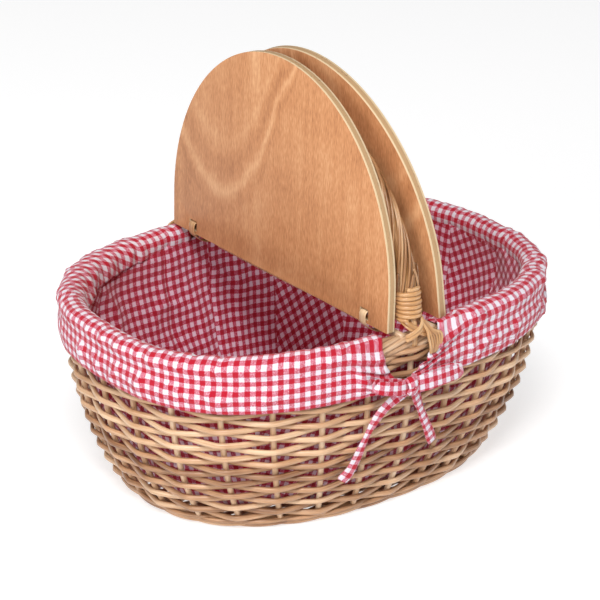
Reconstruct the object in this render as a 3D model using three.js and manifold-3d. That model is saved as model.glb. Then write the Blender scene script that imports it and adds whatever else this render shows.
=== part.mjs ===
// A wicker picnic basket: an oval willow basket with a fixed wrapped handle across its short axis,
// two half-oval plywood lids that turn in willow loops on a two-rod bridge, and a cloth liner that
// folds over the rim and ties under the handle. Millimetres, +Z up, +X along the long axis.
// The origin is on the floor, under the middle of the basket.
import * as THREE from "three";
import { mergeVertices } from "three/addons/utils/BufferGeometryUtils.js";
import Module from "manifold-3d";

const wasm = await Module();
wasm.setup();

// ---- driving dimensions ----
const FLOOR_HALF = { x: 192, y: 141 }; // outside of the wall at the floor
const RIM_HALF = { x: 240, y: 183 }; // outside of the wall at the rim
const OVAL_POWER = { floor: 2.32, rim: 2.6 }; // superellipse exponent of the plan shape
const FLARE_HEIGHT = 185; // height where the wall has reached its full width
const FLARE_POWER = 2.5; // how quickly the wall rounds out above the floor
const POWER_HEIGHT = 140; // height where the plan shape has reached its rim exponent
const FIT_GAP = 0.4; // clearance between pieces that touch

const STAKE_COUNT = 28; // upright rods round the wall
const FIRST_STAKE = 40.6; // how far along the rim the first stake stands from the right end
const STAKE_RADIUS = 2.6;
const RING_SEGMENTS = STAKE_COUNT * 2; // so that every stake lies on a ring vertex

const FOOT = { height: 9.6, width: 12 }; // the waled ring that the basket stands on
const BASE = { bottom: 2, top: 10, gap: 12.9 }; // the woven base plate inside the foot
const WALL = { bottom: 10, top: 173.6, thickness: 11, bends: [30, 68, 115] };
const BORDER = { halfWidth: 6.5, bottom: 174, top: 198, centre: { x: 238, y: 181 } };

const LID = { halfWidth: 176, straight: 34, arc: 187, thickness: 9 };
const PIVOT = { x: 30.3, z: 206.7, fromEdge: 9.5 }; // hinge line, and how far it is from a lid's edge
const LID_LEAN_DEG = { left: 1.5, right: 6.7 }; // past upright, towards the handle, lids open
const SLOT = { y: 141, width: 12, halfHeight: 7.3 };
const LOOP = { width: 9, thickness: 1.6, reach: 6.9, right: 17.8, bottom: 21.5, corner: 4.5 };

const BRIDGE = { x: 18, z: 190.5, radius: 4, halfLength: 179, weaveHalfLength: 118 };
const HANDLE = { x: -7, halfSpan: 172, foot: 200, rise: 168, core: 6.4, sleeve: 7.4, wrap: 12.2, binding: 12.8 };
const BINDING = { bottom: 201.5, top: 232 };
const PEG = { radius: 3.6, y: 181, bottom: 181 };

const CLOTH = 1.5; // liner thickness
const NOTCH = { left: -46, right: 20, hemLeft: -32, hemRight: -5, hem: 145, narrow: 174 }; // liner's gap
const BOW = { x: -26, z: 155, gap: 8.5, thickness: 2.4, width: 12 };

// ---- colours ----
const WILLOW = new THREE.MeshStandardMaterial({ color: 0xc99a66, roughness: 0.5 });
const WILLOW_PALE = new THREE.MeshStandardMaterial({ color: 0xd8b486, roughness: 0.45 });
const PLYWOOD = new THREE.MeshStandardMaterial({ color: 0xbd8150, roughness: 0.45 });
const GINGHAM = new THREE.MeshStandardMaterial({ color: 0xc9404f, roughness: 0.9 });

// ---- plan shape ----
const flare = (z) => 1 - Math.max(0, 1 - Math.max(0, z) / FLARE_HEIGHT) ** FLARE_POWER;
const powerAt = (z) => THREE.MathUtils.lerp(
  OVAL_POWER.floor, OVAL_POWER.rim, Math.min(1, Math.max(0, z) / POWER_HEIGHT));
const halfAt = (axis, z) => THREE.MathUtils.lerp(FLOOR_HALF[axis], RIM_HALF[axis], flare(z));

// A point of a superellipse with half axes a and b, in the direction of angle t.
function ovalPoint(a, b, power, t) {
  const [c, s] = [Math.cos(t), Math.sin(t)];
  const r = (Math.abs(c / a) ** power + Math.abs(s / b) ** power) ** (-1 / power);
  return new THREE.Vector2(r * c, r * s);
}

// Directions that step evenly round the rim, starting at the first stake.
function evenAngles(count, samples = 2880) {
  const at = (i) => (i / samples) * 2 * Math.PI;
  const rim = (i) => ovalPoint(RIM_HALF.x, RIM_HALF.y, OVAL_POWER.rim, at(i));
  const along = [0];
  for (let i = 1; i <= samples; i++) along.push(along[i - 1] + rim(i).distanceTo(rim(i - 1)));
  const angles = [];
  for (let k = 0; k < count; k++) {
    const wanted = (FIRST_STAKE + (along[samples] * k) / count) % along[samples];
    angles.push(at(along.findIndex((length) => length >= wanted)));
  }
  return angles;
}
const RING_ANGLES = evenAngles(RING_SEGMENTS);

// A point at depth d inside the wall's outer surface, at height z, in direction t.
function wallPoint(d, z, t) {
  const p = ovalPoint(halfAt("x", z) - d, halfAt("y", z) - d, powerAt(z), t);
  return new THREE.Vector3(p.x, p.y, z);
}

// How far out in y the wall's outer surface is, at x along the front and height z.
function wallFront(x, z) {
  const n = powerAt(z);
  return halfAt("y", z) * (1 - Math.abs(x / halfAt("x", z)) ** n) ** (1 / n);
}

// ---- solids ----
function toSolid(geometry) {
  const bare = geometry.index ? geometry.toNonIndexed() : geometry.clone();
  const merged = mergeVertices(
    new THREE.BufferGeometry().setAttribute("position", bare.getAttribute("position")), 1e-4);
  return new wasm.Manifold(new wasm.Mesh({
    numProp: 3,
    vertProperties: merged.attributes.position.array,
    triVerts: new Uint32Array(merged.index.array),
  }));
}

function fromSolid(solid) {
  const mesh = solid.getMesh();
  return new THREE.BufferGeometry()
    .setAttribute("position", new THREE.BufferAttribute(new Float32Array(mesh.vertProperties), 3))
    .setIndex(new THREE.BufferAttribute(new Uint32Array(mesh.triVerts), 1));
}

// Joins rings of equal length, given as arrays of Vector3, into a closed surface. The rings run
// anticlockwise seen from above. closed: the last ring meets the first, as in a hoop; otherwise the
// first and the last ring shrink to their middles.
function loft(rings, closed) {
  const [positions, indices, n] = [[], [], rings[0].length];
  rings.flat().forEach((p) => positions.push(p.x, p.y, p.z));
  const quad = (a, b, c, d) => indices.push(a, b, c, a, c, d);
  const spans = closed ? rings.length : rings.length - 1;
  for (let j = 0; j < spans; j++) {
    const [low, high] = [j * n, ((j + 1) % rings.length) * n];
    for (let i = 0; i < n; i++) quad(low + i, low + ((i + 1) % n), high + ((i + 1) % n), high + i);
  }
  const cap = (ring, first, outward) => {
    const centre = ring.reduce((sum, p) => sum.add(p), new THREE.Vector3()).divideScalar(n);
    const middle = positions.push(centre.x, centre.y, centre.z) / 3 - 1;
    for (let i = 0; i < n; i++) {
      const [a, b] = [first + i, first + ((i + 1) % n)];
      indices.push(...(outward ? [a, b, middle] : [b, a, middle]));
    }
  };
  if (!closed) {
    cap(rings[0], 0, false);
    cap(rings.at(-1), (rings.length - 1) * n, true);
  }
  const geometry = new THREE.BufferGeometry();
  geometry.setAttribute("position", new THREE.BufferAttribute(new Float32Array(positions), 3));
  return geometry.setIndex(indices);
}

// A loft whose section is a list of [depth inside the wall's outside, height].
const wallLoft = (section, closed) =>
  loft(section.map(([d, z]) => RING_ANGLES.map((t) => wallPoint(d, z, t))), closed);

// A regular polygon as a path or a shape, for round sections with few faces.
function polygon(radius, sides, Kind = THREE.Shape) {
  const turn = (i) => ((i + 0.5) / sides) * 2 * Math.PI;
  return new Kind(Array.from({ length: sides }, (_, i) =>
    new THREE.Vector2(radius * Math.cos(turn(i)), radius * Math.sin(turn(i)))));
}

// A rod, or with an inner radius a sleeve, along a curve.
function rod(curve, radius, sides, steps, innerRadius = 0) {
  const section = polygon(radius, sides);
  if (innerRadius) section.holes.push(polygon(innerRadius, sides, THREE.Path));
  return new THREE.ExtrudeGeometry(section, { steps, extrudePath: curve, curveSegments: 1 });
}

const straightRod = (from, to, radius, sides) => rod(new THREE.LineCurve3(from, to), radius, sides, 1);
const vec = (x, y, z) => new THREE.Vector3(x, y, z);

function box(low, high) {
  const size = high.clone().sub(low);
  const centre = high.clone().add(low).divideScalar(2);
  return new THREE.BoxGeometry(size.x, size.y, size.z).translate(centre.x, centre.y, centre.z);
}

const part = new THREE.Group();
function add(name, geometry, material, parent = part) {
  const mesh = new THREE.Mesh(geometry, material);
  mesh.name = name;
  parent.add(mesh);
  return mesh;
}

// ---- the base: three long sticks on top, five cross sticks underneath, woven between ----
function makeBase() {
  const stick = 6; // width of a stick
  const depth = 3.1; // how deep a stick lies in the weave
  const reach = BASE.gap + 6;
  const longHalf = halfAt("x", BASE.top) - reach;
  const longs = [-10, 0, 10].map((y) => [
    vec(-longHalf, y - stick / 2, BASE.top - depth), vec(longHalf, y + stick / 2, BASE.top)]);
  const crosses = [-124, -62, 0, 62, 124].map((x) => {
    const half = wallFront(x, BASE.bottom) - reach;
    return [vec(x - stick / 2, -half, BASE.bottom), vec(x + stick / 2, half, BASE.bottom + depth)];
  });
  const outline = [BASE.bottom, BASE.top].map((z) => [BASE.gap, z]);
  let weave = toSolid(wallLoft(outline, false));
  for (const [low, high] of [...longs, ...crosses]) {
    const clear = vec(FIT_GAP, FIT_GAP, FIT_GAP);
    weave = weave.subtract(toSolid(box(low.clone().sub(clear), high.clone().add(clear))));
  }
  add("base_weave", fromSolid(weave), WILLOW);
  longs.forEach(([low, high], i) => add(`base_stick_long_${i + 1}`, box(low, high), WILLOW_PALE));
  crosses.forEach(([low, high], i) => add(`base_stick_cross_${i + 1}`, box(low, high), WILLOW_PALE));
}

function makeFoot() {
  const { height, width } = FOOT;
  const section = [[0.5, 0], [-0.5, height / 2], [0, height], [width, height], [width, 0]];
  add("foot_wale", wallLoft(section, true), WILLOW_PALE);
}

// ---- the wall: upright stakes in the channels of the woven side ----
function makeWall() {
  const levels = [WALL.bottom, ...WALL.bends, WALL.top];
  const outside = levels.map((z) => [0, z]);
  const inside = levels.map((z) => [WALL.thickness, z]).reverse();
  const middle = WALL.thickness / 2;
  const end = 0.4; // a stake stops just short of the wall's ends
  let weave = toSolid(wallLoft([...outside, ...inside], true));
  const channels = [];
  for (let k = 0; k < STAKE_COUNT; k++) {
    const t = RING_ANGLES[k * 2];
    const ring = (radius, z) => Array.from({ length: 6 }, (_, i) => {
      const turn = t + (i / 6) * 2 * Math.PI;
      return wallPoint(middle, z, t).add(vec(radius * Math.cos(turn), radius * Math.sin(turn), 0));
    });
    const upright = (radius, from, to) =>
      loft([from, ...WALL.bends, to].map((z) => ring(radius, z)), false);
    channels.push(toSolid(upright(STAKE_RADIUS + FIT_GAP, WALL.bottom - 1, WALL.top + 1)));
    const stake = upright(STAKE_RADIUS, WALL.bottom + end, WALL.top - end);
    add(`stake_${String(k + 1).padStart(2, "0")}`, stake, WILLOW_PALE);
  }
  channels.forEach((channel) => { weave = weave.subtract(channel); });
  add("wall_weave", fromSolid(weave), WILLOW);
}

// ---- the rolled border, with sockets for the handle's pegs and the bridge's rods ----
function borderRing(offset, z) {
  const { centre } = BORDER;
  return RING_ANGLES.map((t) => {
    const p = ovalPoint(centre.x + offset, centre.y + offset, OVAL_POWER.rim, t);
    return vec(p.x, p.y, z);
  });
}

// Offsets and heights round the border's top, from outside to inside, grown by a clearance.
function borderTop(grow) {
  const radius = BORDER.halfWidth;
  const middle = BORDER.top - radius;
  return [0, 45, 90, 135, 180].map((deg) => {
    const a = THREE.MathUtils.degToRad(deg);
    return [(radius + grow) * Math.cos(a), middle + (radius + grow) * Math.sin(a)];
  });
}

function makeBorder() {
  const { halfWidth, bottom } = BORDER;
  const section = [...borderTop(0), [-halfWidth, bottom], [halfWidth, bottom]];
  let ring = toSolid(loft(section.map(([offset, z]) => borderRing(offset, z)), true));
  for (const side of [-1, 1]) {
    const peg = [vec(HANDLE.x, side * PEG.y, PEG.bottom - FIT_GAP), vec(HANDLE.x, side * PEG.y, 210)];
    ring = ring.subtract(toSolid(straightRod(...peg, PEG.radius + FIT_GAP, 8)));
    for (const x of [-BRIDGE.x, BRIDGE.x]) {
      const socket = [vec(x, side * 160, BRIDGE.z), vec(x, side * (BRIDGE.halfLength + FIT_GAP), BRIDGE.z)];
      ring = ring.subtract(toSolid(straightRod(...socket, BRIDGE.radius + FIT_GAP, 8)));
    }
  }
  add("rim_border", fromSolid(ring), WILLOW);
}

// ---- the bridge across the middle that carries the lids ----
function makeBridge() {
  const { x, z, radius, halfLength, weaveHalfLength } = BRIDGE;
  let weave = toSolid(box(
    vec(-x - 7, -weaveHalfLength, z - 5.5), vec(x + 7, weaveHalfLength, z + 5)));
  for (const [name, at] of [["left", -x], ["right", x]]) {
    const ends = [vec(at, -halfLength, z), vec(at, halfLength, z)];
    add(`bridge_rod_${name}`, straightRod(...ends, radius, 8), WILLOW_PALE);
    weave = weave.subtract(toSolid(straightRod(...ends, radius + FIT_GAP, 8)));
  }
  add("bridge_weave", fromSolid(weave), WILLOW);
}

// ---- the handle: a bent core rod with its pegs, wrapped with rods and bound at both feet ----
function makeHandle() {
  const { x, halfSpan, foot, rise, core, sleeve, wrap, binding } = HANDLE;
  // the bow is half an ellipse; angle 0 is its front foot
  const stretch = (from, to) => {
    const curve = new THREE.Curve();
    curve.getPoint = (t) => {
      const angle = THREE.MathUtils.lerp(from, to, t);
      return vec(x, -halfSpan * Math.cos(angle), foot + rise * Math.sin(angle));
    };
    return curve;
  };
  const angleAt = (z) => Math.asin((z - foot) / rise);
  const [low, high] = [angleAt(BINDING.bottom), angleAt(BINDING.top)];
  const gap = 0.4 / rise;

  let bow = toSolid(rod(stretch(low, Math.PI - low), core, 8, 24));
  for (const side of [-1, 1]) {
    const [y, into] = [side * PEG.y, side * (halfSpan - 1)];
    const leg = new THREE.CatmullRomCurve3([
      vec(x, y, PEG.bottom), vec(x, y, 187), vec(x, y, 193), vec(x, y, 198.4),
      vec(x, (y + into) / 2, 203), vec(x, into, 208), vec(x, into, 212)]);
    bow = bow.add(toSolid(rod(leg, PEG.radius, 8, 10)));
  }
  add("handle_core", fromSolid(bow), WILLOW_PALE);
  add("handle_wrap", rod(stretch(high + gap, Math.PI - high - gap), wrap, 10, 24, sleeve), WILLOW);
  const bound = (from, to) => rod(stretch(from, to), binding, 10, 3, sleeve);
  const start = angleAt(BINDING.bottom + 4);
  add("handle_binding_front", bound(start, high), WILLOW);
  add("handle_binding_back", bound(Math.PI - high, Math.PI - start), WILLOW);
}

// The back of the handle, its lashings and its bow are the front's, turned half round the handle.
const turned = (side, x) => (side < 0 ? x : 2 * HANDLE.x - x);

// ---- fans of skeins that tie each handle foot down over the outside of the border ----
function makeLashings() {
  const thickness = 2.2;
  const grow = FIT_GAP + thickness;
  const over = (g) => borderTop(g).slice(0, 3); // outside quarter, up to near the crown
  const down = BORDER.halfWidth;
  const section = [
    [down + grow, BORDER.bottom + 2], ...over(grow), ...over(FIT_GAP).reverse(),
    [down + FIT_GAP, BORDER.bottom + 2]];
  const sleeve = toSolid(loft(section.map(([offset, z]) => borderRing(offset, z)), true));
  const spans = [[HANDLE.x - 28, HANDLE.x - 13], [HANDLE.x + 13, HANDLE.x + 26]];
  for (const [side, name] of [[-1, "front"], [1, "back"]])
    for (const span of spans) {
      const [from, to] = span.map((x) => turned(side, x)).sort((a, b) => a - b);
      const hand = to < HANDLE.x ? "left" : "right";
      const [near, far] = [side * 150, side * 210];
      const window = box(
        vec(from, Math.min(near, far), 150), vec(to, Math.max(near, far), 220));
      const fan = sleeve.intersect(toSolid(window));
      add(`handle_lashing_${name}_${hand}`, fromSolid(fan), WILLOW_PALE);
    }
}

// ---- the two plywood lids, each with two slots, and the loops they turn in ----
// A lid is drawn lying in its own X-Y plane: x across the basket, y up from its straight edge.
function lidBoard() {
  const { halfWidth, straight, arc, thickness } = LID;
  const outline = new THREE.Shape();
  outline.moveTo(-halfWidth, 0);
  outline.lineTo(halfWidth, 0);
  outline.absellipse(0, straight, halfWidth, arc, 0, Math.PI, false);
  const plain = new THREE.ExtrudeGeometry(outline, {
    depth: thickness, bevelEnabled: false, curveSegments: 20 });
  let board = toSolid(plain);
  for (const at of [-SLOT.y, SLOT.y]) board = board.subtract(toSolid(box(
    vec(at - SLOT.width / 2, PIVOT.fromEdge - SLOT.halfHeight, -1),
    vec(at + SLOT.width / 2, PIVOT.fromEdge + SLOT.halfHeight, thickness + 1))));
  return fromSolid(board);
}

function makeLids() {
  const board = lidBoard();
  board.translate(0, -PIVOT.fromEdge, -LID.thickness / 2);
  board.rotateX(Math.PI / 2).rotateZ(Math.PI / 2); // upright, the straight edge along Y
  for (const [name, side] of [["left", -1], ["right", 1]]) {
    const hinge = new THREE.Group();
    hinge.position.set(side * PIVOT.x, 0, PIVOT.z);
    hinge.rotation.y = -side * THREE.MathUtils.degToRad(LID_LEAN_DEG[name]);
    part.add(hinge);
    add(`lid_${name}`, board, PLYWOOD, hinge);
  }
}

// A loop is a rounded square of flat willow that passes slantwise through the lid's slot and round
// the bridge rod, with room inside it for the lid's edge to turn.
function loopPath(side, grow) {
  const [left, top] = [-LOOP.reach - grow, LOOP.reach + grow];
  const [right, bottom] = [LOOP.right + grow, -LOOP.bottom - grow];
  const cut = LOOP.reach * 2 + grow * (2 - Math.SQRT2); // the slanted corner passes the pivot
  const r = LOOP.corner + grow;
  const arc = (cx, cy, from) => Array.from({ length: 4 }, (_, i) => {
    const a = from + (i / 3) * (Math.PI / 2);
    return [cx + r * Math.cos(a), cy + r * Math.sin(a)];
  });
  const outline = [
    [left + cut, top], [left, top - cut],
    ...arc(left + r, bottom + r, Math.PI), ...arc(right - r, bottom + r, 1.5 * Math.PI),
    ...arc(right - r, top - r, 0)];
  const points = outline.map(([x, z]) => new THREE.Vector2(side * x, z));
  return side > 0 ? points : points.reverse();
}

function makeLoops() {
  for (const [name, side] of [["left", 1], ["right", -1]])
    for (const [end, y] of [["front", -SLOT.y], ["back", SLOT.y]]) {
      const ring = new THREE.Shape(loopPath(side, LOOP.thickness / 2));
      ring.holes.push(new THREE.Path(loopPath(side, -LOOP.thickness / 2)));
      const band = new THREE.ExtrudeGeometry(ring, { depth: LOOP.width, bevelEnabled: false });
      band.rotateX(Math.PI / 2);
      band.translate(-side * PIVOT.x, y + LOOP.width / 2, PIVOT.z);
      add(`lid_loop_${name}_${end}`, band, WILLOW_PALE);
    }
}

// ---- the liner: a cloth bag that lines the basket, folds over the border and hangs outside ----
function makeLiner() {
  const inner = WALL.thickness + 0.6;
  const asDepth = (offset, z) => [halfAt("y", z) - (BORDER.centre.y + offset), z];
  const over = (grow) => borderTop(grow).map(([offset, z]) => asDepth(offset, z));
  const hem = asDepth(BORDER.halfWidth + 0.6, NOTCH.hem);
  const hemOut = asDepth(BORDER.halfWidth + 0.6 + CLOTH, NOTCH.hem);
  const section = [
    [inner + 2, BASE.top + 0.6], ...WALL.bends.map((z) => [inner, z]), [inner, 170],
    ...over(0.5).reverse(), hem,
    hemOut, ...over(0.5 + CLOTH),
    [inner + CLOTH, 170], ...WALL.bends.map((z) => [inner + CLOTH, z]).reverse(),
    [inner + CLOTH + 2, BASE.top + 0.6 + CLOTH]];
  const rings = section.map(([d, z]) => RING_ANGLES.map((t) => wallPoint(d, z, t)));
  let bag = toSolid(loft(rings, false));

  // the gap under the handle: wide over the border, narrow at the hem
  const top = BORDER.top + 20;
  const outline = [
    [NOTCH.hemLeft, NOTCH.hem - 5], [NOTCH.hemRight, NOTCH.hem - 5], [NOTCH.right, NOTCH.narrow],
    [NOTCH.right, top], [NOTCH.left, top], [NOTCH.left, NOTCH.narrow]];
  for (const side of [-1, 1]) {
    const gap = new THREE.Shape(outline.map(([x, z]) => new THREE.Vector2(turned(side, x), z)));
    const prism = new THREE.ExtrudeGeometry(gap, { depth: 40, bevelEnabled: false });
    prism.rotateX(Math.PI / 2);
    prism.translate(0, side < 0 ? -176 : 216, 0);
    bag = bag.subtract(toSolid(prism));
    const span = (near, far) => [Math.min(side * near, side * far), Math.max(side * near, side * far)];
    const [rodNear, rodFar] = span(150, 177);
    const passage = box(
      vec(-BRIDGE.x - 8, rodNear, BRIDGE.z - 7), vec(BRIDGE.x + 8, rodFar, top));
    const [lidNear, lidFar] = span(150, LID.halfWidth + 1.5);
    const pockets = box(vec(-PIVOT.x - 13, lidNear, 195), vec(PIVOT.x + 13, lidFar, top));
    bag = bag.subtract(toSolid(passage)).subtract(toSolid(pockets));
  }
  add("liner", fromSolid(bag), GINGHAM);
}

// ---- the ties: one bow under each handle foot, made from the liner's two tie ends ----
// A ribbon that follows the outside of the basket along points [x, z], a constant gap away.
function ribbon(points, width, gap, side) {
  const curve = new THREE.CatmullRomCurve3(points.map(([x, z]) => vec(x, 0, z)));
  const steps = points.length * 2;
  const place = (p, lift) => {
    const hang = THREE.MathUtils.smoothstep(p.z, NOTCH.hem - 40, NOTCH.hem);
    const off = THREE.MathUtils.lerp(1.5, gap, hang) + lift;
    return vec(p.x, side * (wallFront(p.x, p.z) + off), p.z);
  };
  const rings = Array.from({ length: steps + 1 }, (_, i) => {
    const [p, along] = [curve.getPoint(i / steps), curve.getTangent(i / steps)];
    const across = vec(-along.z, 0, along.x).multiplyScalar(width / 2);
    const [a, b] = [p.clone().add(across), p.clone().sub(across)];
    const corners = [place(a, 0), place(b, 0), place(b, BOW.thickness), place(a, BOW.thickness)];
    return side < 0 ? corners.reverse() : corners;
  });
  return loft(rings, false);
}

function makeTies() {
  const { x, z, gap, width } = BOW;
  const ribbons = [
    [[[x, z], [x - 12, z - 2], [-40, 158]], width, gap], // to the liner's left corner
    [[[x, z], [-12, 158], [4, 168]], width, gap + 0.35], // to the liner's right corner
    [[[x, z], [x - 20, z + 6], [x - 38, z + 11]], width + 1, gap + 0.7], // left loop
    [[[x, z], [x + 26, z - 1], [x + 52, z + 1], [x + 71, z - 1]], width + 2, gap + 1.05], // right loop
    [[[x, z], [-46, 141], [-62, 112], [-72, 80], [-83, 58]], width, gap + 1.4], // left tail
    [[[x, z], [-14, 134], [4, 104], [22, 72]], width, gap + 1.75]]; // right tail
  for (const [side, name] of [[-1, "front"], [1, "back"]]) {
    const knotX = turned(side, x);
    let bow = toSolid(new THREE.SphereGeometry(1, 10, 6).scale(9, 3.6, 9)
      .translate(knotX, side * (wallFront(knotX, z) + gap + 3.5), z));
    for (const [points, wide, off] of ribbons) {
      const path = points.map(([px, pz]) => [turned(side, px), pz]);
      bow = bow.add(toSolid(ribbon(path, wide, off, side)));
    }
    const [whole] = bow.decompose().sort((a, b) => b.volume() - a.volume());
    add(`tie_${name}`, fromSolid(whole), GINGHAM);
  }
}

makeBase();
makeFoot();
makeWall();
makeBorder();
makeBridge();
makeHandle();
makeLashings();
makeLids();
makeLoops();
makeLiner();
makeTies();

export default part;
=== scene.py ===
import math
import bpy
import numpy as np
from mathutils import Matrix, Vector, noise


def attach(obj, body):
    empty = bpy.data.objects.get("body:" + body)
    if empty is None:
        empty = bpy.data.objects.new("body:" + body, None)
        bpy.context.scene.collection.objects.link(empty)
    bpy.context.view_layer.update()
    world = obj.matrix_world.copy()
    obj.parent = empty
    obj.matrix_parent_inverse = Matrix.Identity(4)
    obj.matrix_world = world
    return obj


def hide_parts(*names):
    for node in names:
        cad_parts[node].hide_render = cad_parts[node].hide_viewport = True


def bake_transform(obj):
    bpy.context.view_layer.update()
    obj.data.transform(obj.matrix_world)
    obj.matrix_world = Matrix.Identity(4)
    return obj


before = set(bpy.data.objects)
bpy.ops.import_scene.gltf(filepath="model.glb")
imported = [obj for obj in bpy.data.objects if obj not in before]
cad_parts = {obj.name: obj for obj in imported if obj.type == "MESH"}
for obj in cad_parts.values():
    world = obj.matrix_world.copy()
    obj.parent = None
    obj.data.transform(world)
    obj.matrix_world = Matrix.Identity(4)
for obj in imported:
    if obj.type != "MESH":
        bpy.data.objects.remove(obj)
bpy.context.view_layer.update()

# ---------------------------------------------------------------- studio
# A white floor with soft light: a large key from the upper left, a weaker fill from the right and
# an even pale sky. The camera looks at the basket from the front left and a little above.
bpy.ops.object.select_all(action="DESELECT")
bpy.ops.mesh.primitive_plane_add(size=60, location=(0, 0, -0.0004))
floor = bpy.context.object
floor.name = "studio_floor"


def surface(name, **finish):
    """A new material, its tree and its shader, with constants set on the shader's sockets."""
    made = bpy.data.materials.new(name)
    made.use_nodes = True
    shader = made.node_tree.nodes["Principled BSDF"]
    for socket, value in finish.items():
        shader.inputs[socket.replace("_", " ")].default_value = value
    return made, made.node_tree, shader


floor.data.materials.append(surface("studio_paper", Base_Color=(0.50, 0.50, 0.505, 1), Roughness=0.9,
                                    Emission_Color=(1, 1, 1, 1), Emission_Strength=0.62)[0])

sky = bpy.data.worlds.new("studio_sky")
sky.use_nodes = True
sky.node_tree.nodes["Background"].inputs["Color"].default_value = (1.0, 1.0, 1.0, 1)
sky.node_tree.nodes["Background"].inputs["Strength"].default_value = 0.26
bpy.context.scene.world = sky
bpy.context.scene.view_settings.view_transform = "Standard"


def softbox(name, place, aim, size, power, tint):
    bpy.ops.object.light_add(type="AREA", location=place)
    lamp = bpy.context.object
    lamp.name = name
    lamp.data.shape = "DISK"
    lamp.data.size = size
    lamp.data.energy = power
    lamp.data.color = tint
    lamp.rotation_euler = (Vector(aim) - Vector(place)).to_track_quat("-Z", "Y").to_euler()


softbox("key_softbox", (-1.25, -1.5, 2.6), (0, 0, 0.12), 1.0, 70, (1, 0.99, 0.98))
softbox("left_softbox", (-2.3, -1.1, 1.15), (0, 0, 0.12), 1.2, 26, (1, 0.99, 0.98))
softbox("fill_softbox", (2.0, -1.4, 1.4), (0, 0, 0.12), 1.6, 10, (0.97, 0.98, 1))
softbox("back_softbox", (-0.3, 2.2, 2.4), (0, 0, 0.15), 1.6, 12, (1, 1, 1))

bpy.ops.object.camera_add(location=(-1.2940, -1.7397, 1.0865))
camera = bpy.context.object
camera.name = "studio_camera"
camera.data.lens = 143.17
camera.data.sensor_width = 36
aim_at = Vector((-0.0026, 0.0019, 0.1624))
camera.rotation_euler = (aim_at - camera.location).to_track_quat("-Z", "Y").to_euler()
bpy.context.scene.camera = camera

# ---------------------------------------------------------------- side stakes
# Upright willow rods, pushed into the base and bent up, on which the side is woven. They are peeled
# and boiled willow, honey coloured, with a low sheen. The oval of the basket flares from the floor
# to the rim, and every woven piece below follows it.
wave_noise = np.random.default_rng(11)
stake_count = 28
first_stake = 0.0406  # along the rim, from the right-hand end
stake_radius, stake_depth = 0.0029, 0.0055


def oval_size(z):
    """Half length, half width and squareness of the wall's outer surface at height z."""
    flare = 1 - np.clip(1 - np.clip(z, 0, None) / 0.185, 0, None) ** 2.5
    return 0.192 + 0.048 * flare, 0.141 + 0.042 * flare, 2.32 + 0.28 * np.clip(z / 0.14, 0, 1)


def oval_point(depth, z, turn):
    """Points at a depth inside the wall's outer surface, at height z, in direction turn."""
    depth, z, turn = np.broadcast_arrays(depth, z, turn)
    long_half, short_half, power = oval_size(z)
    long_half, short_half = long_half - depth, short_half - depth
    cos, sin = np.cos(turn), np.sin(turn)
    long_half = long_half - 0.0045 * np.clip(-cos, 0, 1) ** 2 * np.clip(z / 0.12, 0, 1)  # drawn in by hand
    reach = (np.abs(cos / long_half) ** power + np.abs(sin / short_half) ** power) ** (-1 / power)
    return np.stack([reach * cos, reach * sin, z + 0 * turn], axis=-1)


def length_along(points):
    """How far each point is along the line through them."""
    return np.concatenate([[0], np.cumsum(np.linalg.norm(np.diff(points, axis=0), axis=1))])


rim_turns = np.linspace(0, 2 * math.pi, 4001)
rim_points = oval_point(0.0, 0.19, rim_turns)
rim_run = length_along(rim_points)
rim_length = rim_run[-1]


def turn_at(stakes):
    """The direction of a place that is so many stakes on from the first one."""
    run = (first_stake + np.asarray(stakes) * rim_length / stake_count) % rim_length
    return np.interp(run, rim_run, rim_turns)


def unit(directions):
    """The same directions, each one long."""
    return directions / np.linalg.norm(directions, axis=-1, keepdims=True)


def square_to(points, outward, closed=False):
    """Outward and sideways directions, square to the line through the points."""
    along = unit(np.roll(points, -1, 0) - np.roll(points, 1, 0) if closed else np.gradient(points, axis=0))
    outward = np.broadcast_to(outward, points.shape)
    outward = unit(outward - along * np.sum(outward * along, axis=1, keepdims=True))
    return outward, np.cross(along, outward)


def mesh_piece(name, verts, faces, uv_name, uvs, **point_values):
    """A smooth piece with a UV map and values on its points."""
    mesh = bpy.data.meshes.new(name)
    mesh.from_pydata(verts.tolist(), [], faces)
    mesh.uv_layers.new(name=uv_name).data.foreach_set("uv", np.array(uvs, float).ravel())
    for key, values in point_values.items():
        mesh.attributes.new(key, "FLOAT", "POINT").data.foreach_set("value", values)
    mesh.polygons.foreach_set("use_smooth", [True] * len(faces))
    piece = bpy.data.objects.new(name, mesh)
    bpy.context.collection.objects.link(piece)
    return piece


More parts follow.
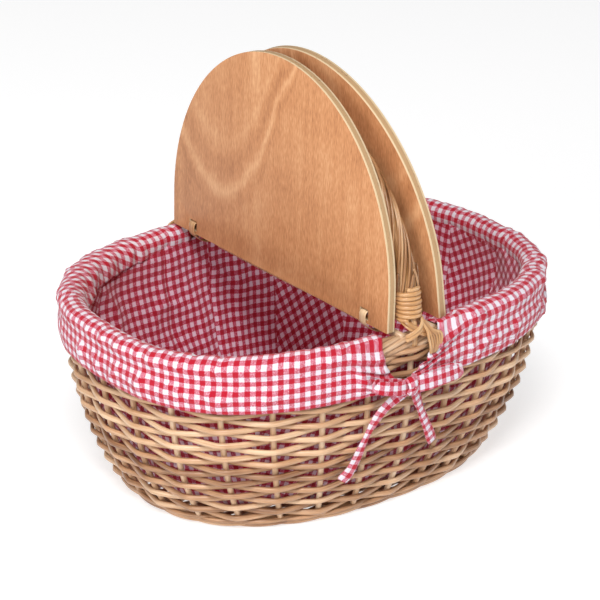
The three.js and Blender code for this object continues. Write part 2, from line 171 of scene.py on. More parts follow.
def lay_rods(name, rods, sides=8):
    """One mesh of many rods. A rod is (points, outward directions, half width, half depth, closed).
    Each gets a UV map in metres along and around it, and a tone of its own."""
    corner = (np.arange(sides) + 0.5) / sides * 2 * math.pi
    verts, faces, uvs, tones = [], [], [], []
    base = 0
    for number, (points, outward, wide, deep, closed) in enumerate(rods):
        points = np.asarray(points, float)
        count = len(points)
        wide = np.broadcast_to(wide, count)[:, None, None]
        deep = np.broadcast_to(deep, count)[:, None, None]
        outward, across = square_to(points, outward, closed)
        ring = (points[:, None] + outward[:, None] * np.cos(corner)[None, :, None] * deep
                + across[:, None] * np.sin(corner)[None, :, None] * wide)
        verts.append(ring.reshape(-1, 3))
        step = np.linalg.norm(np.roll(points, -1, 0) - points, axis=1)
        run = np.concatenate([[0], np.cumsum(step)]) + number * 3.7
        girth = 2.6 * float(np.mean(wide) + np.mean(deep))
        for i in range(count if closed else count - 1):
            a, b = base + i * sides, base + ((i + 1) % count) * sides
            for k in range(sides):
                m = (k + 1) % sides
                faces.append((a + k, a + m, b + m, b + k))
                low, high = k / sides * girth, (k + 1) / sides * girth
                uvs += [(run[i], low), (run[i], high), (run[i + 1], high), (run[i + 1], low)]
        if not closed:
            faces.append(tuple(base + k for k in reversed(range(sides))))
            faces.append(tuple(base + (count - 1) * sides + k for k in range(sides)))
            for end in (0, -1):
                uvs += [(run[end], k / sides * girth) for k in range(sides)]
        tones += [wave_noise.random()] * (count * sides)
        base += count * sides
    return mesh_piece(name, np.concatenate(verts), faces, "rod_run", uvs, tone=tones)


def link(tree, source, target):
    """Joins two sockets."""
    tree.links.new(source, target)


def node(tree, kind, **values):
    """A new node with its properties, and its inputs by position, set."""
    made = tree.nodes.new(kind)
    for key, value in values.items():
        if key.startswith("in"):
            made.inputs[int(key[2:])].default_value = value
        else:
            setattr(made, key, value)
    return made


def ramp(tree, stops, source):
    """A colour ramp through (position, colour) stops, fed by source."""
    made = tree.nodes.new("ShaderNodeValToRGB")
    bar = made.color_ramp
    while len(bar.elements) < len(stops):
        bar.elements.new(0.5)
    for element, (position, colour) in zip(bar.elements, stops):
        element.position = position
        element.color = (*colour, 1)
    link(tree, source, made.inputs["Fac"])
    return made


def sums(tree, kind, *values):
    """A math node on numbers or other nodes' outputs."""
    made = node(tree, "ShaderNodeMath", operation=kind)
    for socket, value in zip(made.inputs, values):
        if isinstance(value, bpy.types.NodeSocket):
            link(tree, value, socket)
        else:
            socket.default_value = value
    return made.outputs[0]


def weigh(tree, source, weight, offset=0.0):
    """source times weight, plus offset."""
    return sums(tree, "MULTIPLY_ADD", source, weight, offset)


def add_up(tree, first, *others):
    """The sum of all of them."""
    for other in others:
        first = sums(tree, "ADD", first, other)
    return first


def stretched_noise(tree, source, stretch, scale=1.0, detail=3.0, shift=(0, 0, 0)):
    """Noise on a place that is shifted and stretched along each axis."""
    run = node(tree, "ShaderNodeMapping", in1=shift, in3=stretch)
    link(tree, source, run.inputs["Vector"])
    made = node(tree, "ShaderNodeTexNoise", in2=scale, in3=detail)
    link(tree, run.outputs["Vector"], made.inputs["Vector"])
    return made


def emboss(tree, shader, height, strength, distance):
    """Bump from a height, on the shader."""
    bump = node(tree, "ShaderNodeBump")
    bump.inputs["Strength"].default_value = strength
    bump.inputs["Distance"].default_value = distance
    link(tree, height, bump.inputs["Height"])
    link(tree, bump.outputs["Normal"], shader.inputs["Normal"])


def willow(name, dark, mid, light, rough=0.42):
    """Peeled willow: a tone for each rod, fine streaks along it and slow blotches."""
    made, tree, shader = surface(name, Roughness=rough, Coat_Weight=0.28, Coat_Roughness=0.3)
    run = node(tree, "ShaderNodeUVMap", uv_map="rod_run")
    tone = node(tree, "ShaderNodeAttribute", attribute_name="tone")
    fibre = stretched_noise(tree, run.outputs["UV"], (26, 900, 1))
    slow = stretched_noise(tree, run.outputs["UV"], (1.6, 30, 1), 9.0, 2.0)
    place = node(tree, "ShaderNodeTexCoord")
    blotch = node(tree, "ShaderNodeTexNoise", in2=42.0, in3=2.0)
    link(tree, place.outputs["Object"], blotch.inputs["Vector"])
    shade = add_up(tree, weigh(tree, tone.outputs["Fac"], 0.46, -0.23), weigh(tree, fibre.outputs["Fac"], 0.55, 0.22),
                   weigh(tree, blotch.outputs["Fac"], 0.36, -0.18), weigh(tree, slow.outputs["Fac"], 0.5, -0.25))
    colour = ramp(tree, [(0.12, dark), (0.5, mid), (0.86, light)], shade)
    link(tree, colour.outputs["Color"], shader.inputs["Base Color"])
    emboss(tree, shader, fibre.outputs["Fac"], 0.35, 0.0004)
    return made


peeled = willow("willow_stake", (0.33, 0.16, 0.075), (0.60, 0.38, 0.225), (0.80, 0.61, 0.43))


def wall_place(depth, z, turn):
    """Points in the wall, and the directions that point out of it there."""
    points = oval_point(depth, z, turn)
    return points, unit(oval_point(depth - 0.001, z, turn) - points)


stake_z = np.linspace(0.006, 0.178, 24)
stakes = []
for k in range(stake_count):
    stakes.append((*wall_place(stake_depth, stake_z, turn_at(k)), stake_radius, stake_radius, False))
side_stakes = lay_rods("side_stakes", stakes, 10)
side_stakes.data.materials.append(peeled)
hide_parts(*[f"stake_{k:02d}" for k in range(1, stake_count + 1)])
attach(side_stakes, "basket")

# ---------------------------------------------------------------- woven side
# Plain weaving: each willow rod passes in front of one stake and behind the next, and the next row
# does the opposite. The rods are packed down by hand, so their height and thickness wander.
weaver = willow("willow_weaver", (0.19, 0.074, 0.028), (0.53, 0.295, 0.155), (0.79, 0.56, 0.36))
first_row, row_pitch = 0.0138, 0.0078
weave_swing = 0.0057  # how far a rod's middle passes in front of and behind the stakes' middle
weaver_high, weaver_deep = 0.00285, 0.0023
steps_per_stake = 10
along_stakes = np.arange(stake_count * steps_per_stake) / steps_per_stake


def wander(size, waves):
    """A slow irregular wave once round the basket."""
    return sum(wave_noise.normal(0, size) * np.sin(2 * math.pi * m * along_stakes / stake_count
               + wave_noise.uniform(0, 6.3)) for m in waves)


rows = []
heights = [first_row + row * row_pitch for row in range(20)] + [0.1690, 0.1727, 0.1764, 0.1797]  # a close wale on top
for row, height in enumerate(heights):
    weave = np.arcsin(0.985 * np.cos(math.pi * (along_stakes + row))) / math.asin(0.985)
    thick = 1 + 0.07 * np.clip(wander(0.35, (1, 2, 3, 5, 8, 11)), -2, 2)
    knock = wander(0.3, (4, 7, 9, 13, 17))
    z = height + 0.00035 * knock + 0.00025 * np.sin(row * 2.1)
    depth = stake_depth - (weave_swing + 0.0002 * knock) * weave
    rows.append((*wall_place(depth, z, turn_at(along_stakes)), weaver_high * thick, weaver_deep * thick, True))
side_weave = lay_rods("side_weave", rows, 8)
side_weave.data.materials.append(weaver)
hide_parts("wall_weave")
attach(side_weave, "basket")

# ---------------------------------------------------------------- foot
# Two rounds of three-rod waling at the floor: three rods twist round each other like a rope, each
# over two stakes and behind one. The basket stands on the lower round.
foot_levels, foot_depth, foot_swing = (0.0032, 0.0074), 0.0052, 0.0040
foot_rods = []
along_foot = np.arange(stake_count * 8) / 8
for level in foot_levels:
    for strand in range(3):
        phase = 2 * math.pi * (9 * along_foot / stake_count + strand / 3)
        place = wall_place(foot_depth - foot_swing * np.cos(phase), level + 0.0007 * np.sin(phase), turn_at(along_foot))
        foot_rods.append((*place, 0.0023, 0.0021, True))
foot = lay_rods("foot_waling", foot_rods, 8)
foot.data.materials.append(weaver)
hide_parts("foot_wale")
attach(foot, "basket")

# ---------------------------------------------------------------- base
# Three long sticks and five cross sticks make a lattice; thin rods are woven lengthwise over and
# under the cross sticks, out to the foot.
stick_z, cross_pitch, weaver_pitch = 0.0054, 0.062, 0.0045
stick_wide, stick_deep = 0.0030, 0.0015
upwards = (0, 0, 1)


def base_reach(y, inset):
    """How far the base goes along x at y."""
    long_half, short_half = 0.197 - inset, 0.146 - inset
    return long_half * max(0.0, 1 - abs(y / short_half) ** 2.32) ** (1 / 2.32)


sticks = []
for x in cross_pitch * np.arange(-2, 3):
    y = np.linspace(-1, 1, 9) * (0.136 - 0.25 * abs(x) ** 2 / (2 * cross_pitch))
    sticks.append((np.stack([np.full(9, x), y, np.full(9, stick_z)], 1), upwards, stick_wide, stick_deep, False))
for y in (-0.010, 0.0, 0.010):
    x = np.linspace(-1, 1, 60) * 0.184
    lift = 0.0028 * np.cos(math.pi * x / cross_pitch)
    sticks.append((np.stack([x, np.full(60, y), stick_z + lift], 1), upwards, stick_wide, stick_deep, False))
base_sticks = lay_rods("base_sticks", sticks, 8)
base_sticks.data.materials.append(peeled)
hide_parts(*[f"base_stick_long_{i}" for i in (1, 2, 3)],
            *[f"base_stick_cross_{i}" for i in (1, 2, 3, 4, 5)])
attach(base_sticks, "basket")

weavers = []
for number in range(-30, 31):
    y = number * weaver_pitch
    reach = base_reach(y, 0.011)
    if abs(number) < 4 or reach < 0.03:  # the long sticks lie there, or the row would be too short
        continue
    x = np.linspace(-reach, reach, max(12, int(reach * 2 / weaver_pitch)))
    lift = 0.0030 * np.cos(math.pi * (x / cross_pitch + number))
    points = np.stack([x, y + 0.0003 * np.sin(x * 70 + number), stick_z + lift], 1)
    weavers.append((points, upwards, 0.0021, 0.0016, False))
base_weave = lay_rods("base_weaving", weavers, 7)
base_weave.data.materials.append(weaver)
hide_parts("base_weave")
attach(base_weave, "basket")

# ---------------------------------------------------------------- border
# The stakes are bent down at the rim and laid over each other, so the border is a thick rope of
# slanting rods. Most of it is under the cloth; it shows under both feet of the handle.
border_count, border_depth, border_z, border_high = 50, 0.0078, 0.1838, 0.0071
border_rods = []
for k in range(border_count):
    sweep = np.linspace(0, 1, 22)
    roll = np.radians(-78 + 275 * sweep)  # 0 points outwards, 90 up
    depth = border_depth - (0.0056 + 0.0008 * math.sin(k * 2.4)) * np.cos(roll)
    points, outward = wall_place(depth, border_z + border_high * np.sin(roll),
                                 turn_at(k * stake_count / border_count + 3.2 * sweep))
    facing = outward * np.cos(roll)[:, None] + np.array(upwards) * np.sin(roll)[:, None]
    thick = 0.0030 * (1 - 0.25 * sweep)
    border_rods.append((points, facing, thick, thick * 0.85, False))
border = lay_rods("rolled_border", border_rods, 8)
border.data.materials.append(peeled)
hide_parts("rim_border")
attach(border, "basket")

# ---------------------------------------------------------------- bridge
# Two stout rods run from border to border under the lids. A split willow skein is wound round both
# of them, except near the ends, where the lid loops pass.
bridge_z, bridge_x, bridge_rod = 0.1905, 0.018, 0.0039
winding_half, winding_turns = 0.118, 44
rods = []
for side in (-1, 1):
    y = np.linspace(-0.179, 0.179, 30)
    points = np.stack([np.full(30, side * bridge_x), y, np.full(30, bridge_z)], 1)
    rods.append((points, upwards, bridge_rod, bridge_rod, False))
bridge_rods = lay_rods("bridge_rods", rods, 14)
bridge_rods.data.materials.append(peeled)
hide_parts("bridge_rod_left", "bridge_rod_right")
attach(bridge_rods, "basket")

phase = np.linspace(0, 2 * math.pi * winding_turns, winding_turns * 28)
cos, sin = np.cos(phase), np.sin(phase)
reach = (np.abs(cos / 0.0228) ** 4 + np.abs(sin / 0.0056) ** 4) ** -0.25
wound = np.stack([reach * cos, np.linspace(-winding_half, winding_half, len(phase)), bridge_z + reach * sin], 1)
facing = np.stack([cos * 0.3 + np.sign(cos) * (np.abs(cos) > 0.93), 0 * cos, sin * 4], 1)
bridge_winding = lay_rods("bridge_winding", [(wound, facing, 0.0023, 0.0006, False)], 6)
skein = willow("willow_skein", (0.40, 0.19, 0.07), (0.66, 0.42, 0.22), (0.80, 0.60, 0.38), rough=0.38)
bridge_winding.data.materials.append(skein)
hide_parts("bridge_weave")
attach(bridge_winding, "basket")

# ---------------------------------------------------------------- handle
# A stout core rod is bent into a bow and pushed down beside the rim. A bundle of thin rods is laid
# along it with a slight twist; some end above the binding, where their cut ends show.
handle_x, bow_half, bow_foot, bow_rise = -0.007, 0.172, 0.200, 0.168
wound_willow = willow("willow_handle", (0.25, 0.095, 0.028), (0.56, 0.30, 0.125), (0.82, 0.59, 0.35), rough=0.34)


def bow(angle):
    """Points of the handle's centre line, outwards there and sideways; 0 is the front foot."""
    angle = np.asarray(angle, float)
    point = np.stack([handle_x + 0 * angle, -bow_half * np.cos(angle), bow_foot + bow_rise * np.sin(angle)], -1)
    along = np.stack([0 * angle, bow_half * np.sin(angle), bow_rise * np.cos(angle)], -1)
    side = np.broadcast_to(np.array([1.0, 0, 0]), along.shape)
    return point, np.cross(side, unit(along)), side


def on_bow(angle, roll, radius):
    """A point at that roll round the handle, and the direction away from its centre line."""
    point, up, side = bow(angle)
    away = side * np.cos(roll)[..., None] + up * np.sin(roll)[..., None]
    return point + away * np.asarray(radius)[..., None], away


bundle_count, core_radius, peg_radius = 25, 0.0066, 0.0036
bundle = []
for k in range(bundle_count):
    start = 0.075 + 0.02 * wave_noise.random()
    angle = np.linspace(start, math.pi - start, 96)
    middle = np.sin(angle)
    roll = 2 * math.pi * k / bundle_count - 5.2 * angle + 0.18 * np.sin(3 * angle + k * 2.3)
    radius = 0.0084 + 0.0012 * np.clip((middle - 0.15) / 0.25, 0, 1) + 0.0007 * np.sin(4 * angle + k * 1.9)
    points, away = on_bow(angle, roll, radius)
    size = 0.0012 + 0.0004 * wave_noise.random()
    bundle.append((points, away, size * 1.05, size * 0.9, False))
cut_ends = ((2.2, 0.28), (2.9, 0.33), (3.5, 0.30), (4.1, 0.34), (4.6, 0.29), (5.3, 0.33), (5.9, 0.27), (0.5, 0.31),
            (1.3, 0.33))  # the short rods' places round the handle, and where they end
for end in (0, 1):
    for k, (roll0, stop) in enumerate(cut_ends):
        angle = np.linspace(0.13, stop, 12)
        lean = 5.0 * (angle - 0.13) * (1 if k % 2 else -1)
        roll = roll0 + lean if end == 0 else math.pi - roll0 - lean
        points, away = on_bow(angle if end == 0 else math.pi - angle, roll, 0.0104 + 0.016 * (angle - 0.13))
        bundle.append((points, away, 0.0017, 0.0008, False))
handle_bundle = lay_rods("handle_bundle", bundle, 7)
dark_willow = willow("willow_bundle", (0.11, 0.036, 0.010), (0.36, 0.170, 0.064), (0.70, 0.46, 0.25), rough=0.36)
handle_bundle.data.materials.append(dark_willow)
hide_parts("handle_wrap")
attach(handle_bundle, "basket")

core = []
angle = np.linspace(0.03, math.pi - 0.03, 80)
core.append((*bow(angle)[:2], core_radius, core_radius, False))
for end in (-1, 1):
    foot_y = np.interp(np.linspace(0, 1, 16), (0, 0.55, 1), (0.181, 0.181, 0.171))
    foot_z = np.linspace(0.181, 0.216, 16)
    core.append((np.stack([np.full(16, handle_x), end * foot_y, foot_z], 1), (1, 0, 0), peg_radius, peg_radius, False))
handle_core = lay_rods("handle_core_rod", core, 12)
handle_core.data.materials.append(wound_willow)
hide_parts("handle_core")
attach(handle_core, "basket")

# The binding: one long pliable rod wound seven times round each foot of the handle.
for end, name in ((0, "front"), (1, "back")):
    count = 7
    phase = np.linspace(0, 2 * math.pi * count, count * 26)
    angle = np.linspace(0.036, 0.205, len(phase))
    size = 0.0021 + 0.00012 * np.sin(phase * 0.37)
    points, away = on_bow(angle if end == 0 else math.pi - angle, phase + 2.2, 0.0115 - 0.0004 * np.sin(phase * 0.5))
    binding = lay_rods(f"handle_binding_{name}_turns", [(points, away, size, size * 0.9, False)], 8)
    binding.data.materials.append(wound_willow)
    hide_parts(f"handle_binding_{name}")
    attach(binding, "basket")

# ---------------------------------------------------------------- lashings
# Split skeins tie the handle down: two crossed pairs under the binding, and a fan of six that
# spreads from the binding over the outside of the border on the right.


def smooth_path(anchors, count):
    """A smooth line through a few anchor points."""
    anchors = np.array(anchors, float)
    place = np.linspace(0, len(anchors) - 1, count)
    low = np.clip(place.astype(int), 0, len(anchors) - 2)
    t = (place - low)[:, None]
    p1, p2 = anchors[low], anchors[low + 1]
    p0, p3 = anchors[np.clip(low - 1, 0, None)], anchors[np.clip(low + 2, None, len(anchors) - 1)]
    return 0.5 * (2 * p1 + (p2 - p0) * t + (2 * p0 - 5 * p1 + 4 * p2 - p3) * t ** 2
                  + (3 * p1 - p0 - 3 * p2 + p3) * t ** 3)


for end, name in ((-1, "front"), (1, "back")):
    crossed = []
    for slant in (-1, 1):
        for shift in (0.0, 0.0036):
            path = smooth_path([(handle_x + slant * x, end * y, z - shift) for x, y, z in (
                (0.0095, 0.1725, 0.2085), (0.0088, 0.1822, 0.2055), (0.0025, 0.1868 + 0.0005 * slant, 0.2005),
                (-0.0055, 0.1872 + 0.0005 * slant, 0.1966), (-0.0125, 0.1850, 0.1930))], 26)
            crossed.append((path, (0, end, 0.35), 0.0022, 0.0008, False))
    cross = lay_rods(f"lashing_cross_{name}", crossed, 8)
    cross.data.materials.append(wound_willow)
    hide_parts(f"handle_lashing_{name}_{'left' if end < 0 else 'right'}")
    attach(cross, "basket")
    fan = []
    for k in range(6):
        spread = k / 5
        path = smooth_path([(handle_x - end * x, end * y, z) for x, y, z in (
            (0.0060 + 0.004 * spread, 0.1845 - 0.002 * spread, 0.2040),
            (0.0095 + 0.007 * spread, 0.1882, 0.1960 - 0.001 * spread),
            (0.0110 + 0.0145 * spread, 0.1896, 0.1880 + 0.002 * spread),
            (0.0130 + 0.013 * spread, 0.1898, 0.1795 + 0.001 * spread), (0.0150 + 0.005 * spread, 0.1880, 0.1710))], 26)
        fan.append((path, (0.15 * (spread - 0.5), end, 0.3), 0.0013, 0.0011, False))
    spread_fan = lay_rods(f"lashing_fan_{name}", fan, 8)
    spread_fan.data.materials.append(wound_willow)
    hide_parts(f"handle_lashing_{name}_{'right' if end < 0 else 'left'}")
    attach(spread_fan, "basket")

# ---------------------------------------------------------------- lids
# Two half-oval lids of 9 mm plywood with a satin lacquer. The face veneer is warm, with its grain up
# the lid and a large swirly figure; the cut edge shows pale and darker plies. Two slots near the
# straight edge take the loops.
lid_half, lid_straight, lid_arc, lid_thick = 0.176, 0.034, 0.187, 0.009
hinge_x, hinge_z, hinge_up = 0.0303, 0.2067, 0.0095


def bell(tree, source, middle, width):
    """1 where source is at middle, falling smoothly to 0 over width."""
    away = weigh(tree, source, 1 / width, -middle / width)
    return sums(tree, "POWER", math.e, weigh(tree, sums(tree, "MULTIPLY", away, away), -1))


def plywood(name, side, lean):
    """Veneer on the faces and plies on the cut edge, told apart by the depth through the board."""
    made, tree, shader = surface(name, Roughness=0.52, Specular_IOR_Level=0.32, Coat_Weight=0.05, Coat_Roughness=0.35)
    place = node(tree, "ShaderNodeTexCoord")
    shift = node(tree, "ShaderNodeMapping", in1=(-side * hinge_x, 0, -hinge_z))
    link(tree, place.outputs["Object"], shift.inputs["Vector"])
    square = node(tree, "ShaderNodeMapping", in2=(0, side * lean, 0))
    link(tree, shift.outputs["Vector"], square.inputs["Vector"])
    board_place = square.outputs["Vector"]
    parts = node(tree, "ShaderNodeSeparateXYZ")
    link(tree, board_place, parts.inputs["Vector"])

    # a bowl-shaped figure towards the back, and a pale streak that rises from its inner arm
    warp = stretched_noise(tree, board_place, (1, 11, 9), 1.0, 2.0, (side * 1.3, 0.4, 0)).outputs["Fac"]
    y = add_up(tree, weigh(tree, parts.outputs["Y"], -side, -0.095), weigh(tree, warp, 0.05, -0.025))
    bowl = add_up(tree, weigh(tree, sums(tree, "MULTIPLY", y, y), -11.0, -0.052), parts.outputs["Z"],
                  weigh(tree, warp, 0.03, -0.015))
    streak = bell(tree, y, -0.062, 0.012)
    pores = stretched_noise(tree, board_place, (40, 780, 150)).outputs["Fac"]
    streaks = stretched_noise(tree, board_place, (10, 95, 6), 1.0, 4.0)
    streaks.inputs["Distortion"].default_value = 0.4
    cloud = node(tree, "ShaderNodeTexNoise", in2=16.0, in3=2.0)
    link(tree, board_place, cloud.inputs["Vector"])
    shade = add_up(tree, weigh(tree, streaks.outputs["Fac"], 0.42, 0.09), weigh(tree, pores, 0.85, -0.425),
                   weigh(tree, cloud.outputs["Fac"], 0.40), weigh(tree, streak, 0.15))
    for middle, width, weight in (
            (0.0, 0.008, 0.20), (0.026, 0.015, -0.15), (0.054, 0.009, 0.09), (-0.020, 0.009, -0.11)):
        shade = add_up(tree, shade, weigh(tree, bell(tree, bowl, middle, width), weight))
    veneer = ramp(tree, [(0.12, (0.34, 0.132, 0.050)), (0.5, (0.555, 0.252, 0.108)),
                         (0.88, (0.73, 0.41, 0.210))], shade)

    depth = sums(tree, "ABSOLUTE", parts.outputs["X"])
    ply_grain = stretched_noise(tree, board_place, (700, 330, 330)).outputs["Fac"]
    ply_wave = add_up(tree, weigh(tree, depth, 2 / lid_thick), weigh(tree, ply_grain, 0.16, -0.08))
    plies = ramp(tree, [(0.0, (0.44, 0.27, 0.135)), (0.34, (0.47, 0.295, 0.15)), (0.44, (0.30, 0.175, 0.085)),
                        (0.50, (0.60, 0.45, 0.27)), (0.90, (0.70, 0.535, 0.335))], ply_wave)
    speck = ramp(tree, [(0.27, (0.45, 0.40, 0.36)), (0.36, (1, 1, 1))], ply_grain)
    edge_colour = node(tree, "ShaderNodeMix", data_type="RGBA", blend_type="MULTIPLY", in0=1.0)
    link(tree, plies.outputs["Color"], edge_colour.inputs[6])
    link(tree, speck.outputs["Color"], edge_colour.inputs[7])
    mix = node(tree, "ShaderNodeMix", data_type="RGBA")
    link(tree, sums(tree, "GREATER_THAN", depth, lid_thick / 2 - 0.00025), mix.inputs["Factor"])
    link(tree, edge_colour.outputs[2], mix.inputs[6])
    link(tree, veneer.outputs["Color"], mix.inputs[7])
    link(tree, mix.outputs[2], shader.inputs["Base Color"])
    emboss(tree, shader, pores, 0.22, 0.0003)
    return made


def pick_up(piece):
    """Selects this piece alone."""
    bpy.ops.object.select_all(action="DESELECT")
    piece.select_set(True)
    bpy.context.view_layer.objects.active = piece


def cut_slots(board):
    """Two slots through the board, 12 mm wide, near its straight edge."""
    for at in (-0.141, 0.141):
        bpy.ops.mesh.primitive_cube_add(size=1, location=(at, 0.0084, 0))
        cutter = bpy.context.object
        cutter.scale = (0.0122, 0.0104, 0.03)
        bpy.ops.object.transform_apply(location=True, rotation=True, scale=True)
        cut = board.modifiers.new("slot", "BOOLEAN")
        cut.operation = "DIFFERENCE"
        cut.object = cutter
        cut.solver = "EXACT"
        pick_up(board)
        bpy.ops.object.modifier_apply(modifier="slot")
        bpy.data.objects.remove(cutter)


for name, side, lean in (("left", -1, math.radians(1.5)), ("right", 1, math.radians(6.7))):
    bpy.ops.object.select_all(action="DESELECT")
    bpy.ops.mesh.primitive_cylinder_add(vertices=192, radius=1, depth=lid_thick, location=(0, lid_straight, 0))
    board = bpy.context.object
    board.name = f"lid_{name}_board"
    board.scale = (lid_half, lid_arc, 1)
    bpy.ops.object.transform_apply(location=True, rotation=True, scale=True)
    bpy.ops.object.mode_set(mode="EDIT")
    bpy.ops.mesh.select_all(action="SELECT")
    bpy.ops.mesh.bisect(plane_co=(0, lid_straight, 0), plane_no=(0, 1, 0), use_fill=True, clear_inner=True)
    bpy.ops.mesh.select_all(action="DESELECT")
    bpy.ops.object.mode_set(mode="OBJECT")
    for face in board.data.polygons:
        face.select = face.normal.y < -0.9 and face.center.y < lid_straight + 0.001
    bpy.ops.object.mode_set(mode="EDIT")
    bpy.ops.mesh.extrude_region_move(TRANSFORM_OT_translate={"value": (0, -lid_straight, 0)})
    bpy.ops.object.mode_set(mode="OBJECT")
    cut_slots(board)
    soften = board.modifiers.new("soften", "BEVEL")
    soften.width = 0.0007
    soften.segments = 2
    soften.limit_method = "ANGLE"
    soften.angle_limit = math.radians(50)
    bpy.ops.object.modifier_apply(modifier="soften")
    bpy.ops.object.shade_smooth_by_angle(angle=math.radians(30))
    lying_to_standing = Matrix(((0, 0, 1, 0), (1, 0, 0, 0), (0, 1, 0, 0), (0, 0, 0, 1)))
    board.data.transform(Matrix.Translation((side * hinge_x, 0, hinge_z)) @ Matrix.Rotation(-side * lean, 4, "Y")
                         @ lying_to_standing @ Matrix.Translation((0, -hinge_up, 0)))
    board.data.materials.append(plywood(f"plywood_{name}", side, lean))
    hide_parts(f"lid_{name}")
    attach(board, f"lid_{name}")

# ---------------------------------------------------------------- lid loops
# A flat willow skein goes through each slot, down over the lid's lower edge and round the bridge rod.
# It is pliable; here it is one fixed shape, joined to neither the lid nor the basket.
for name, side, leg in (("left", -1, 0.0363), ("right", 1, 0.0374)):
    for end, y in (("front", -0.141), ("back", 0.141)):
        ring = smooth_path([
            (0.0303, 0.2087), (0.0340, 0.2088), (leg, 0.2062), (leg + 0.0002, 0.2010), (leg - 0.0008, 0.1962),
            (leg - 0.0058, 0.1915), (0.0245, 0.1872), (0.0180, 0.1853), (0.0138, 0.1885), (0.0130, 0.1960),
            (0.0146, 0.2040), (0.0200, 0.2080), (0.0262, 0.2086), (0.0303, 0.2087)], 72)[:-1]
        points = np.stack([side * ring[:, 0], y + 0 * ring[:, 0], ring[:, 1]], 1)
        middle = np.array([side * 0.0245, y, 0.196])
        loop = lay_rods(f"loop_{name}_{end}", [(points, points - middle, 0.0050, 0.0008, True)], 10)
        loop.data.materials.append(skein)
        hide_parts(f"lid_loop_{name}_{end}")
        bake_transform(loop)

# ---------------------------------------------------------------- liner
# A washable bag of red and white gingham, 5 mm checks. Its wall is sewn from panels cut on different
# grain; a wide band is rolled over the border and hangs outside, with a stitched hem. The band is
# open under each foot of the handle.
check_repeat = 0.010  # a red and a white check
cloth_thick = 0.0008
stake_gap = rim_length / stake_count


def gingham(name, crimson, rose, chalk):
    """Checks from the cloth's own UV map in metres, with thread texture and a faint mottle."""
    made, tree, shader = surface(name, Roughness=0.88, Sheen_Weight=0.18, Sheen_Roughness=0.5, Specular_IOR_Level=0.25)
    run = node(tree, "ShaderNodeUVMap", uv_map="cloth")
    fray = node(tree, "ShaderNodeTexNoise", in2=1400.0, in3=2.0)
    link(tree, run.outputs["UV"], fray.inputs["Vector"])
    nudge = node(tree, "ShaderNodeVectorMath", operation="MULTIPLY_ADD", in1=(0.0011, 0.0011, 0))
    link(tree, fray.outputs["Color"], nudge.inputs[0])
    link(tree, run.outputs["UV"], nudge.inputs[2])
    parts = node(tree, "ShaderNodeSeparateXYZ")
    link(tree, nudge.outputs[0], parts.inputs["Vector"])
    stripes, threads = [], []
    for axis in ("X", "Y"):
        part = sums(tree, "PINGPONG", sums(tree, "MULTIPLY", parts.outputs[axis], 1 / check_repeat), 0.5)
        edge = node(tree, "ShaderNodeMapRange", in1=0.225, in2=0.275, in3=0.0, in4=1.0)
        link(tree, part, edge.inputs[0])
        stripes.append(edge.outputs[0])
        wave = node(tree, "ShaderNodeTexWave", bands_direction=axis, in1=950.0, in2=1.5)
        link(tree, run.outputs["UV"], wave.inputs["Vector"])
        threads.append(wave.outputs["Fac"])
    mottle = node(tree, "ShaderNodeTexNoise", in2=700.0, in3=3.0)
    link(tree, run.outputs["UV"], mottle.inputs["Vector"])
    shade = add_up(tree, sums(tree, "MULTIPLY", add_up(tree, *stripes), 0.5),
                   weigh(tree, mottle.outputs["Fac"], 0.84, -0.42))
    colour = ramp(tree, [(0.10, chalk), (0.5, rose), (0.88, crimson)], shade)
    hem = node(tree, "ShaderNodeAttribute", attribute_name="hem")
    row = sums(tree, "COMPARE", hem.outputs["Fac"], 0.0092, 0.0004)
    on_dash = sums(tree, "GREATER_THAN", sums(tree, "PINGPONG", parts.outputs["X"], 0.0014), 0.00045)
    sewn = node(tree, "ShaderNodeMix", data_type="RGBA", in7=(0.30, 0.07, 0.10, 1))
    link(tree, sums(tree, "MULTIPLY", sums(tree, "MULTIPLY", row, on_dash), 0.55), sewn.inputs["Factor"])
    link(tree, colour.outputs["Color"], sewn.inputs[6])
    link(tree, sewn.outputs[2], shader.inputs["Base Color"])
    emboss(tree, shader, sums(tree, "MAXIMUM", *threads), 0.3, 0.0003)
    return made


checked = gingham("gingham_cotton", (0.46, 0.006, 0.024), (0.59, 0.165, 0.23), (0.76, 0.71, 0.775))
# the bag is the same gingham as the band, painted darker and pinker: painted shade of the basket's inside
painted_shade_checked = gingham("gingham_painted_shade", (0.36, 0.004, 0.020), (0.49, 0.065, 0.120), (0.75, 0.54, 0.64))


def sew(name, grid, uv, cotton, closed, hem=1.0):
    """A cloth piece from a grid of points (rows by columns), with one UV per face corner. The
    distance from the hem goes with each row, for the stitches."""
    rows, columns = grid.shape[:2]
    across = columns if closed else columns - 1
    faces, corners = [], []
    for i in range(rows - 1):
        for j in range(across):
            m = (j + 1) % columns
            faces.append((i * columns + j, i * columns + m, (i + 1) * columns + m, (i + 1) * columns + j))
            corners += uv(i, j)
    from_hem = np.repeat(np.broadcast_to(hem, rows), columns)
    piece = mesh_piece(name, grid.reshape(-1, 3), faces, "cloth", corners, hem=from_hem.tolist())
    piece.data.materials.append(cotton)
    body = piece.modifiers.new("thickness", "SOLIDIFY")
    body.thickness = cloth_thick
    body.offset = 0
    pick_up(piece)
    bpy.ops.object.modifier_apply(modifier="thickness")
    return piece


def rumple(x, y, z, scale, seed):
    """Smooth noise from -1 to 1 at arrays of places."""
    flat = np.stack(np.broadcast_arrays(x, y, z), -1).reshape(-1, 3) * scale + seed
    values = np.array([noise.noise(Vector(p)) for p in flat])
    return values.reshape(np.broadcast(x, y, z).shape)


def ridges(values, sharp=2.0):
    """Folds with rounded tops and sharper valleys."""
    return 1 - np.abs(values) ** (1 / sharp) * 2


